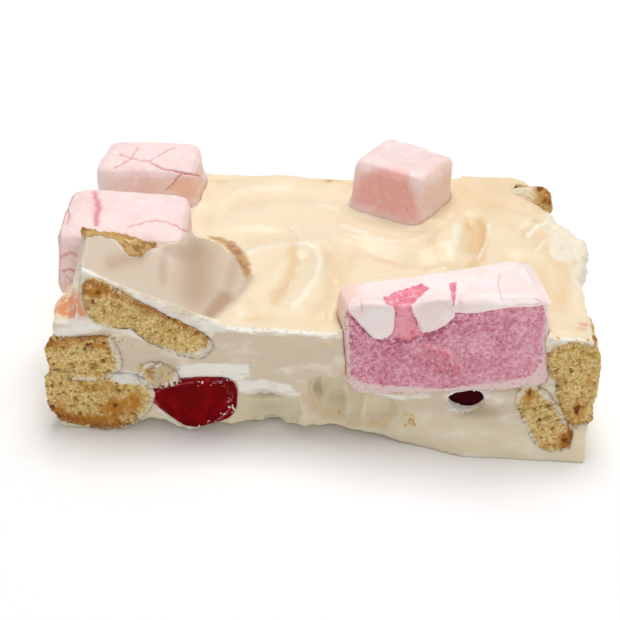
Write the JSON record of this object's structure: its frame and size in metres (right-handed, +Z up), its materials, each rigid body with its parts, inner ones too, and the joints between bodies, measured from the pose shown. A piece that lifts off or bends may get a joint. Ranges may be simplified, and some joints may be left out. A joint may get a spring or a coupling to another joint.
{
  "type": "rocky road slice",
  "caption": "Cut bar of white chocolate rocky road, with pink marshmallows, broken biscuit and glace cherry set in a poured, swirled chocolate block.",
  "frame": {"origin": "middle of the slice's flat underside, below the middle of its top", "axes": "+Z up; +X along the slice, to the right seen from its cut face; the cut face looks along -Y"},
  "size_m": [0.104, 0.067, 0.0375],
  "materials": {
    "chocolate": "white chocolate: glossy cream glaze on top, satin ivory where it was cut",
    "marshmallow": "soft pale pink marshmallow skin with fine cracks",
    "marshmallow_foam": "cut magenta pink marshmallow foam with fine pores",
    "biscuit": "dry crumbly biscuit with browned edges",
    "cherry": "wet dark red glace cherry"
  },
  "bodies": {
    "root": {"chocolate": "chocolate", "marshmallow_front_left": "marshmallow", "marshmallow_back_left": "marshmallow", "marshmallow_back_right": "marshmallow", "marshmallow_cut": "marshmallow_foam", "biscuit_leaning": "biscuit", "biscuit_corner_upper": "biscuit", "biscuit_corner_lower": "biscuit", "biscuit_right_tall": "biscuit", "biscuit_right_low": "biscuit", "biscuit_back_right": "biscuit", "biscuit_crumb": "biscuit", "cherry_front": "cherry", "cherry_deep": "cherry"}
  },
  "joints": []
}
